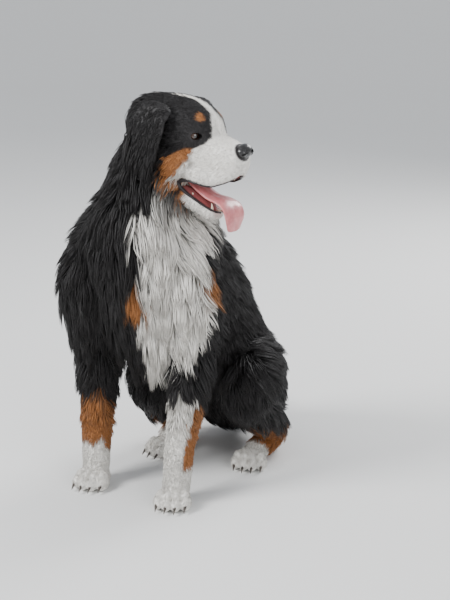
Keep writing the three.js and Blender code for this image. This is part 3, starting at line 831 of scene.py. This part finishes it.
def lip_material():
    return grained("Lip", 0.36, 0.45, 420.0, 4.0, (0.008, 0.006, 0.007), (0.026, 0.019, 0.02), (0.5, 0.0008))


# Coat in tufts

COAT_SEED = 417
LONG_FROM = 17
GROUP_LIMIT = 185000
LOCK_CHOICE, LOCK_CELL = 14000, 0.03
HANG_LENGTH, HANG_HEIGHT = 0.05, 0.24
DOWN = np.array([0, 0, -1.0])

# Shares of the length at each ring of a tuft, and the tuft's width there
LONG_SHARES = (0.0, 0.3, 0.65, 1.0)
LONG_WIDTHS = (0.75, 1.0, 0.72)
SHORT_SHARES = (0.0, 0.5, 1.0)
SHORT_WIDTHS = (0.9, 0.8)

# By length of hair in millimetres: width of a tuft and space between tufts, finest on the face and feet
TUFT_LENGTHS = [5, 10, 20, 50, 90, 120]
TUFT_WIDTHS = [0.85, 1.15, 1.75, 3.0, 3.7, 4.0]
TUFT_SPACES = [1.95, 2.3, 3.15, 4.0, 4.2, 4.4]

# By length again: how far the tip lifts off the skin, space between locks, and pull of a lock
LOCK_LENGTHS = [5, 12, 30, 80, 120]
TIP_LIFTS = [0.16, 0.2, 0.29, 0.30, 0.27]
LOCK_SPACES = [3.5, 5, 12, 21, 24]
LOCK_PULLS = [0.2, 0.35, 0.6, 0.72, 0.72]


def read(rows, name, width=3, whole=False):
    """One property of a mesh's rows as an array of numbers."""
    values = np.empty(len(rows) * width, np.int32 if whole else np.float32)
    rows.foreach_get(name, values)
    return values.reshape(-1, width).astype(int if whole else float)


def nearest(tree, points):
    """The nearest place on a surface to each point, the normal there and the triangle's number."""
    found = [tree.find_nearest(point) for point in points.tolist()]
    return [np.array([hit[part] for hit in found]) for part in range(3)]


class Ground:
    """The skin as arrays, with places to root hair and a tree to follow its surface."""

    def __init__(self, skin):
        mesh = skin.data
        mesh.calc_loop_triangles()
        self.points = read(mesh.vertices, "co")
        self.normals = read(mesh.vertex_normals, "vector")
        self.corners = read(mesh.loop_triangles, "vertices", whole=True)
        self.tree = BVHTree.FromPolygons(self.points.tolist(), self.corners.tolist())
        a, b, c = (self.points[self.corners[:, k]] for k in range(3))
        self.areas = np.linalg.norm(np.cross(b - a, c - a), axis=1) / 2

    def scatter(self, rng, per_area):
        """Random roots, per_area of them for each square metre at each triangle."""
        expected = self.areas * per_area
        counts = np.floor(expected + rng.random(len(expected))).astype(int)
        chosen = np.repeat(np.arange(len(counts)), counts)
        u, v = rng.random(len(chosen)), rng.random(len(chosen))
        flip = u + v > 1
        u[flip], v[flip] = 1 - u[flip], 1 - v[flip]
        weights = np.stack([1 - u - v, u, v], 1)[:, :, None]
        where = self.corners[chosen]
        return (self.points[where] * weights).sum(1), unit((self.normals[where] * weights).sum(1))


def follow(ground, roots, normals, lengths, shares, lifts):
    """Paths over the skin from each root that lift towards the tip; long hair hangs off undersides."""
    here, out = roots.copy(), normals.copy()
    way = coat_lie(roots, normals)
    paths, outs = [roots - normals * (1.5 * MM)], [normals]
    loose = np.zeros((len(roots), 1))
    may_hang = ((lengths > HANG_LENGTH) & (roots[:, 2] > HANG_HEIGHT))[:, None]
    for before, share, lift in zip(shares, shares[1:], lifts[1:]):
        stride = (lengths * (share - before))[:, None]
        here, below, _ = nearest(ground.tree, here + way * stride)
        loose = np.maximum(loose, eased(-below[:, 2:3], 0.04, 0.4) * may_hang)
        out = unit(out * 0.4 + below * 0.6)
        fall = unit(way * 0.3 + DOWN)
        way = unit(way * 0.45 + coat_lie(here, out) * 0.55)
        way = unit(way - out * (way * out).sum(1, keepdims=True))
        laid = here + out * (lift * lengths)[:, None]
        paths.append(laid * (1 - loose) + (paths[-1] + fall * stride) * loose)
        outs.append(out)
    return np.stack(paths, 1), np.stack(outs, 1)


def lock_seeds(rng, roots, spacing):
    """A sparse even choice of the roots, as the middles of locks."""
    chosen = []
    cells = {}
    for index in rng.permutation(len(roots))[:LOCK_CHOICE]:
        x, y, z = np.floor(roots[index] / LOCK_CELL).astype(int)
        near = [other for i in (-1, 0, 1) for j in (-1, 0, 1) for k in (-1, 0, 1)
                for other in cells.get((x + i, y + j, z + k), ())]
        if all(np.linalg.norm(roots[other] - roots[index]) > spacing[index] for other in near):
            cells.setdefault((x, y, z), []).append(index)
            chosen.append(index)
    return np.array(chosen)


def nearest_seed(points, seeds, chunk=2500):
    best = np.empty(len(points), int)
    for start in range(0, len(points), chunk):
        part = points[start:start + chunk]
        best[start:start + chunk] = ((part[:, None, :] - seeds[None]) ** 2).sum(2).argmin(1)
    return best


def tuft_points(paths, outs, widths, profile):
    """Rings of three points along each path, and a point at the tip."""
    rings = len(profile)
    ways = np.gradient(paths, axis=1)
    across = unit(np.cross(outs, ways))
    rise = unit(np.cross(ways, across))
    points = np.empty((len(paths), rings * 3 + 1, 3))
    for ring, share in enumerate(profile):
        here = paths[:, ring]
        half = (widths * share / 2)[:, None]
        points[:, ring * 3] = here - across[:, ring] * half
        points[:, ring * 3 + 1] = here + across[:, ring] * half
        points[:, ring * 3 + 2] = here + rise[:, ring] * half * 0.62
    points[:, -1] = paths[:, rings]
    points[:, :, 2] = np.maximum(points[:, :, 2], LOWEST_TUFT)
    return points


def tuft_faces(rings):
    """The corners of one closed tuft's triangles."""
    faces = [(0, 1, 2)]
    for ring in range(rings - 1):
        for side in range(3):
            a, b = ring * 3 + side, ring * 3 + (side + 1) % 3
            faces += [(a, a + 3, b), (b, a + 3, b + 3)]
    last, tip = (rings - 1) * 3, rings * 3
    faces += [(last + side, tip, last + (side + 1) % 3) for side in range(3)]
    return np.array(faces)


def mesh_of(name, points, corners):
    """A smooth mesh of triangles from arrays."""
    mesh = bpy.data.meshes.new(name)
    mesh.vertices.add(len(points))
    mesh.vertices.foreach_set("co", points.astype(np.float32).ravel())
    mesh.loops.add(corners.size)
    mesh.loops.foreach_set("vertex_index", corners.astype(np.int32).ravel())
    mesh.polygons.add(len(corners))
    mesh.polygons.foreach_set("loop_start", np.arange(0, corners.size, 3, dtype=np.int32))
    mesh.polygons.foreach_set("use_smooth", np.ones(len(corners), bool))
    return mesh


def tuft_mesh(name, shares, profile, paths, outs, widths, colours, unwrap):
    """One joined mesh of closed three-sided tufts: rings along each path and a point at the tip."""
    count, rings = len(paths), len(profile)
    per = rings * 3 + 1
    faces = tuft_faces(rings)
    corners = (faces[None] + (np.arange(count) * per)[:, None, None]).reshape(-1, 3)
    mesh = mesh_of(name, tuft_points(paths, outs, widths, profile).reshape(-1, 3), corners)
    around = np.array([0.0, 1.0, 0.5] * rings + [0.5])
    along = np.concatenate([np.repeat(shares[:rings], 3), [0.995]])
    local = np.tile(faces.ravel(), count)
    owner = np.repeat(np.arange(count), faces.size)
    strand = np.stack([around[local] + (owner % 97), along[local] + (owner % 89)], 1)
    bake = unwrap[owner] + (np.stack([around[local], along[local]], 1) - 0.5) * 0.003
    for layer, values in (("OFBake", bake), ("Strand", strand)):
        mesh.uv_layers.new(name=layer).data.foreach_set("uv", values.astype(np.float32).ravel())
    marked = mesh.attributes.new("Marks", "FLOAT_COLOR", "POINT")
    marked.data.foreach_set("color", np.repeat(colours, per, 0).astype(np.float32).ravel())
    mesh.update()
    mesh.validate()
    return linked(name, mesh)


def unwrap_of(skin):
    """A smart unwrap of a coarse copy of the skin, and a way to look a place up in it."""
    coarse = linked("coarse", skin.data.copy())
    melted(coarse, UNWRAP_VOXEL, 2)
    bpy.ops.object.select_all(action="DESELECT")
    coarse.select_set(True)
    bpy.context.view_layer.objects.active = coarse
    bpy.ops.object.mode_set(mode="EDIT")
    bpy.ops.mesh.select_all(action="SELECT")
    bpy.ops.uv.smart_project(angle_limit=math.radians(66), island_margin=0.002)
    bpy.ops.object.mode_set(mode="OBJECT")
    mesh = coarse.data
    mesh.calc_loop_triangles()
    points = read(mesh.vertices, "co")
    triangles = read(mesh.loop_triangles, "vertices", whole=True)
    loops = read(mesh.loop_triangles, "loops", whole=True)
    uvs = read(mesh.uv_layers[0].data, "uv", 2)
    tree = BVHTree.FromPolygons(points.tolist(), triangles.tolist())
    bpy.data.objects.remove(coarse)

    def look_up(places):
        hits, _, index = nearest(tree, places)
        a, b, c = (points[triangles[index, k]] for k in range(3))
        normal = np.cross(b - a, c - a)
        size = (normal ** 2).sum(1)
        w0 = (np.cross(b - hits, c - hits) * normal).sum(1) / size
        w1 = (np.cross(c - hits, a - hits) * normal).sum(1) / size
        weights = np.stack([w0, w1, 1 - w0 - w1], 1)[:, :, None]
        return (uvs[loops[index]] * weights).sum(1)

    return look_up


def exposed(points, trees):
    """False where a point is buried under one of the shells that the skin is joined from."""
    shown = np.ones(len(points), bool)
    for tree in trees:
        for index, point in enumerate(points.tolist()):
            place, normal, _, _ = tree.find_nearest(point, 0.06)
            if place is not None and (Vector(point) - place).dot(normal) < -0.002:
                shown[index] = False
    return shown


def grow_coat(skin, trees, rng):
    """The long tufts and the fine ones, as (kind, shares, profile, roots, arrays) rows."""
    ground = Ground(skin)
    look_up = unwrap_of(skin)
    centres = ground.points[ground.corners].mean(1)
    bare, _ = bare_share(centres)
    space = np.interp(coat_length(centres), TUFT_LENGTHS, TUFT_SPACES)
    per_area = (1 - bare) / (space * MM * 1.0) ** 2
    per_area[centres[:, 2] < LOWEST_ROOT] = 0
    roots, normals = ground.scatter(rng, per_area)
    keep = (normals[:, 2] > np.where(roots[:, 2] < 0.012, -0.2, -2)) & exposed(roots, trees)
    roots, normals = roots[keep], normals[keep]
    lengths = coat_length(roots)
    rows = []
    for kind, chosen, shares, profile in (("long", lengths > LONG_FROM, LONG_SHARES, LONG_WIDTHS),
                                          ("fine", lengths <= LONG_FROM, SHORT_SHARES, SHORT_WIDTHS)):
        arrays = grow_kind(ground, look_up, rng, roots[chosen], normals[chosen], lengths[chosen], shares)
        rows.append((kind, shares, profile, roots[chosen], arrays))
    return rows


def grow_kind(ground, look_up, rng, roots, normals, lengths, shares):
    """Paths, outs, widths, colours and unwrap of the tufts at some roots."""
    count = len(roots)
    reach = lengths * rng.uniform(0.62, 1.12, count) * MM
    top = np.interp(lengths, LOCK_LENGTHS, TIP_LIFTS) * rng.uniform(0.45, 1.15, count)
    paths, outs = follow(ground, roots, normals, reach, shares, [top * share ** 0.8 for share in shares])
    clump(rng, roots, lengths, paths, shares)
    wave(roots, lengths, paths, outs, shares)
    paths[:, :, 2] = np.maximum(paths[:, :, 2], LOWEST_PATH)
    white, rust = marks(roots + rng.normal(0, 1, (count, 3)) * (np.minimum(lengths, 30) * 0.11 * MM)[:, None])
    # Marks: white, rust, a random tone per tuft, and the share of long hair, which sets how much painted
    # shade darkens the roots
    colours = np.stack([white, rust, rng.random(count), eased(lengths, 8, 45)], 1)
    widths = np.interp(lengths, TUFT_LENGTHS, TUFT_WIDTHS) * rng.uniform(0.75, 1.2, count) * MM
    return paths, outs, widths * 1.0, colours, look_up(roots)


def clump(rng, roots, lengths, paths, shares):
    """Draws the tips of neighbouring tufts together into locks."""
    seeds = lock_seeds(rng, roots, np.interp(lengths, LOCK_LENGTHS, LOCK_SPACES) * MM)
    owner = nearest_seed(roots, roots[seeds])
    lead = seeds[owner]
    pull = np.interp(lengths, LOCK_LENGTHS, LOCK_PULLS) * rng.uniform(0.7, 1.1, len(roots))
    sway = rng.normal(0, 1, (len(seeds), 3))[owner]
    for ring, share in enumerate(shares[1:], start=1):
        target = paths[lead, ring]
        paths[:, ring] += (target - paths[:, ring]) * (pull * share ** 1.6)[:, None]
        paths[:, ring] += sway * (lengths * MM * 0.055 * share ** 1.5)[:, None]


def wave(roots, lengths, paths, outs, shares):
    """A loose wave along the longer hair."""
    phase = np.sin(roots @ np.array([61.0, 47.0, 83.0])) * 3.1
    size = np.clip(lengths - 25, 0, 80) * 0.045 * MM
    for ring, share in enumerate(shares[1:], start=1):
        way = paths[:, ring] - paths[:, ring - 1]
        side = unit(np.cross(outs[:, ring], way))
        paths[:, ring] += side * (np.sin(phase + share * 5.0) * size)[:, None]


def coat_groups(roots):
    """A name for each tuft's part of the coat."""
    mm = design(roots)
    x, y, z = mm.T
    names = np.full(len(roots), "coat_back", dtype=object)
    fore = (y < 62) & (z < 345)
    rear = (y > 62) & (z < 330)
    for part, chosen in (("chest_right", (y < 90) & (x < 0)), ("chest_left", (y < 90) & (x >= 0)),
                         ("foreleg_right", fore & (x < -70)), ("foreleg_left", fore & (x > 8)),
                         ("hindleg_left", rear & (x > 98)), ("hindleg_right", rear & (x < -22)),
                         ("tail", (y > 447) & (z < 150)), ("neck", -0.58 * (y + 50) + 0.815 * (z - 612) > 0),
                         ("head", headness(head_frame(mm)) > 0.5)):
        names[chosen] = f"coat_{part}"
    return names


def plant(rows, material):
    """Makes the coat's pieces, each under the limit of triangles."""
    for kind, shares, profile, roots, arrays in rows:
        names = coat_groups(roots)
        for group in sorted(set(names)):
            index = np.nonzero(names == group)[0]
            parts = math.ceil(len(index) * len(tuft_faces(len(profile))) / GROUP_LIMIT)
            for number, chunk in enumerate(np.array_split(index, parts), start=1):
                chosen = [values[chunk] for values in arrays]
                dress(tuft_mesh(f"{group}_{kind}_{number}", shares, profile, *chosen), material, "coat")


# Eyes, nose, tongue, teeth and claws

CORNEA_EDGE, CORNEA_RISE = 0.55, 1.1
WHISKER_SEED = 88


def make_eye(name, side, material):
    """An eyeball with a cornea, and how far each point turns away from the gaze."""
    bm = bmesh.new()
    centre = (EYE_AT[0] * side, *EYE_AT[1:])
    head_ball(bm, centre, (EYE_RADIUS,) * 3, segments=64, rings=40)
    eye = piece(name, bm)
    gaze = (HEAD_FORWARDS * 0.9 + HEAD_LEFT * (0.42 * side)).normalized()
    middle = metres(head_point(centre))
    turns = []
    for vert in eye.data.vertices:
        way = (vert.co - middle).normalized()
        away = way.angle(gaze) / (math.pi / 2)
        if away < CORNEA_EDGE:
            vert.co += way * (CORNEA_RISE * MM * (1 - (away / CORNEA_EDGE) ** 2))
        turns.append(away)
    eye.data.attributes.new("Gaze", "FLOAT", "POINT").data.foreach_set("value", turns)
    dress(eye, material, "eye", name)


def make_nose(material):
    """The nose leather with its nostrils, the slits beside them and the groove between."""
    _, tip, high = NOSE_AT
    bm = bmesh.new()
    head_ball(bm, NOSE_AT, (20, 13.5, 15), segments=48, rings=30)
    head_ball(bm, (0, tip - 5, high - 14), (5, 10, 9))
    for side in (1, -1):
        head_ball(bm, (12 * side, tip + 1, high - 2), (10.5, 12, 10))
    nose = melted(piece("nose_leather", bm), 1.2, 4)
    for side in (1, -1):
        scoop(nose, head_ball, (9 * side, tip + 12.5, high + 0.5), (4.2, 9, 3.6), (0, 32 * side, 30 * side))
        scoop(nose, head_ball, (16 * side, tip + 8, high - 4), (7, 5, 1.5), (0, 28 * side, 10 * side))
    scoop(nose, head_ball, (0, tip + 14, high - 10), (0.9, 6, 13))
    dress(melted(nose, 0.9, 2), material, "nose_leather", "nose")


def make_tongue(material):
    """The tongue, with a groove along its middle."""
    bm = bmesh.new()
    head_loft(bm, TONGUE, sides=32, steps=6, caps=(0.7, 1.6))
    made = piece("tongue_flesh", bm)
    for vert in made.data.vertices:
        x, forwards, _ = head_frame(design(np.array([vert.co])))[0]
        upper = HEAD_UP if forwards < 110 else HEAD_FORWARDS
        vert.co -= upper * (math.exp(-(x / 3.2) ** 2) * 1.6 * MM)
    dress(made, material, "tongue", "tongue")


def make_lips(material):
    bm = bmesh.new()
    for side in (1, -1):
        head_loft(bm, LIP, sides=14, steps=5, hint=HEAD_UP, side=side)
    made = piece("lips", bm)
    for vert in made.data.vertices:
        swell = math.sin(vert.co.x * 410) * math.sin(vert.co.y * 530 + vert.co.z * 370)
        vert.co += HEAD_UP * (0.5 * MM * swell)
    dress(made, material, "nose_leather")


def make_whiskers(material):
    bm = bmesh.new()
    rng = np.random.default_rng(WHISKER_SEED)
    for side in (1, -1):
        for row in range(3):
            for step in range(4):
                base = (38 * side, 118 - step * 11 + row * 3, -44 - row * 9)
                way = head_way(side * 0.9, 0.1 - 0.12 * step, -0.22 - 0.12 * row)
                droop = head_way(side * 2, -6, -7) * rng.uniform(0.6, 1.4)
                cone(bm, head_point(base), way, 0.33, rng.uniform(28, 42), droop, sides=5, steps=5)
    dress(piece("whiskers", bm), material, "coat")


def make_teeth(material):
    """Below and above: the long teeth, the cheek teeth and the front ones."""
    bm = bmesh.new()

    def tooth(place, way, *shape):
        cone(bm, head_point(place), head_way(*way), *shape)

    for side in (1, -1):
        tooth((17 * side, 90, -156), (0.22 * side, 0.3, 1), 4.4, 27, head_way(2 * side, -5, 0))
        tooth((21 * side, 113, -60), (0.1 * side, 0.2, -1), 5.2, 27, head_way(0, -6, 0))
        for step in range(3):
            forwards, thick, long = 74 - step * 14, 3.4 + step, 9 + step * 2
            tooth(((21 + 3 * step) * side, forwards, -146 + 8 * step), (0.1 * side, 0, 1), thick, long)
            tooth(((26 + 2 * step) * side, forwards + 18, -64), (0, 0, -1), thick + 0.2, long + 1)
    for index in range(6):
        across = (index - 2.5) * 4.4
        tooth((across, 97 - abs(across) * 0.25, -158), (0, 0.35, 1), 2.3, 13)
        tooth((across * 1.15, 124 - abs(across) * 0.3, -52), (0, 0.1, -1), 2.6, 13)
    dress(piece("teeth", bm), material, "tooth")


def make_claws(material):
    for foot, (x, y, yaw), _ in feet():
        left, forwards, up = turned(math.radians(yaw))
        for number, toe in enumerate(TOES, start=1):
            base = Vector((x, y, 0)) + left * (toe * 21.3) + forwards * (51 - abs(toe) * 9)
            bm = bmesh.new()
            cone(bm, base + up * 16.5, forwards * 0.86 - up * 0.22, 3.9, 19, up * -6.5)
            dress(piece(f"claw_horn_{foot}_{number}", bm), material, "claw", f"claw_{foot}_{number}")


# The skin's finish and the whole dog

def paint_skin(skin):
    """Writes the same markings as the coat's on the skin, and where it is bare."""
    points = read(skin.data.vertices, "co")
    count = len(points)
    for name, rows in (("Marks", (*marks(points), np.full(count, 0.5))),
                       ("Bare", (*bare_share(points), np.zeros(count)))):
        layer = skin.data.attributes.new(name, "FLOAT_COLOR", "POINT")
        layer.data.foreach_set("color", np.stack([*rows, np.ones(count)], 1).astype(np.float32).ravel())


def make_skin(material):
    """One skin joined from its shells, and a tree of each shell."""
    shells = [body_shell(), head_shell(), *paw_shells()]
    bm = bmesh.new()
    for shell in shells:
        bm.from_mesh(shell.data)
    trees = [Ground(shell).tree for shell in shells]
    for shell in shells:
        bpy.data.objects.remove(shell)
    skin = piece("skin", bm)
    paint_skin(skin)
    dress(skin, material, "coat", "torso", "neck", "head", "lower_jaw", "tail", "ear_left", "ear_right",
          "foreleg_left", "foreleg_right", "hindleg_left", "hindleg_right")
    return skin, trees


def make_dog():
    rng = np.random.default_rng(COAT_SEED)
    skin, trees = make_skin(skin_material())
    plant(grow_coat(skin, trees, rng), coat_material())
    eye = eye_material()
    make_eye("eye_left", 1, eye)
    make_eye("eye_right", -1, eye)
    make_nose(nose_material())
    make_tongue(tongue_material())
    make_lips(lip_material())
    make_whiskers(whisker_material())
    make_teeth(tooth_material())
    make_claws(claw_material())


# Floor, light and camera

# The floor's profile: distance from the middle and height, in metres, rising far behind the dog
FLOOR_PROFILE = [(0.5, 0), (3, 0), (6.5, 0), (8, 0.12), (9.3, 0.5), (10.3, 1.2), (11, 2.2), (11.4, 3.4)]

# Name, place, size in metres and power in watts; each aims at the middle of the dog
LAMPS = [("key", (-2.2, -2.6, 2.8), 1.6, 210), ("fill", (2.8, -2.2, 1.5), 2.4, 50),
         ("rim", (1.2, 2.8, 2.4), 1.8, 120)]
LAMP_AIM = Vector((0, -0.1, 0.45))


def make_floor():
    bm = bmesh.new()
    loops = []
    for reach, height in FLOOR_PROFILE:
        verts = bmesh.ops.create_circle(bm, cap_ends=False, segments=96, radius=reach)["verts"]
        bmesh.ops.translate(bm, verts=verts, vec=(0, 0, height))
        loops.append(edges_of(verts))
    bridged(bm, loops, both=False)
    floor = piece("floor", bm)
    nodes = Nodes("Floor", 0.8, 0.2, Base_Color=(0.74, 0.74, 0.73, 1))
    floor.data.materials.append(nodes.material)


def make_stage():
    make_floor()
    world = bpy.data.worlds.new("Studio")
    world.use_nodes = True
    background = world.node_tree.nodes["Background"]
    background.inputs["Color"].default_value = (0.92, 0.95, 1.0, 1)
    background.inputs["Strength"].default_value = 0.9
    bpy.context.scene.world = world
    for name, place, size, power in LAMPS:
        light = bpy.data.lights.new(name, "AREA")
        light.shape = "DISK"
        light.size = size
        light.energy = power
        lamp = linked(name, light)
        lamp.location = place
        lamp.rotation_euler = (LAMP_AIM - lamp.location).to_track_quat("-Z", "Y").to_euler()


CAMERA_AZIMUTH = math.radians(25)
CAMERA_DISTANCE = 2700
CAMERA_HEIGHT = 1150
AIM_SIDEWAYS, AIM_HEIGHT = 147, 438
FOCAL_PIXELS, FRAME_HEIGHT, SENSOR = 1260, 600, 36


def make_camera():
    c, s = math.cos(CAMERA_AZIMUTH), math.sin(CAMERA_AZIMUTH)
    place = Vector((CAMERA_DISTANCE * s, -CAMERA_DISTANCE * c, CAMERA_HEIGHT))
    aim = Vector((c, s, 0)) * AIM_SIDEWAYS + Vector((0, 0, AIM_HEIGHT))
    data = bpy.data.cameras.new("camera")
    data.sensor_width = SENSOR
    data.lens = FOCAL_PIXELS / FRAME_HEIGHT * SENSOR
    camera = linked("camera", data)
    camera.location = metres(place)
    camera.rotation_euler = (aim - place).to_track_quat("-Z", "Y").to_euler()
    bpy.context.scene.camera = camera


make_camera()
make_stage()
make_dog()
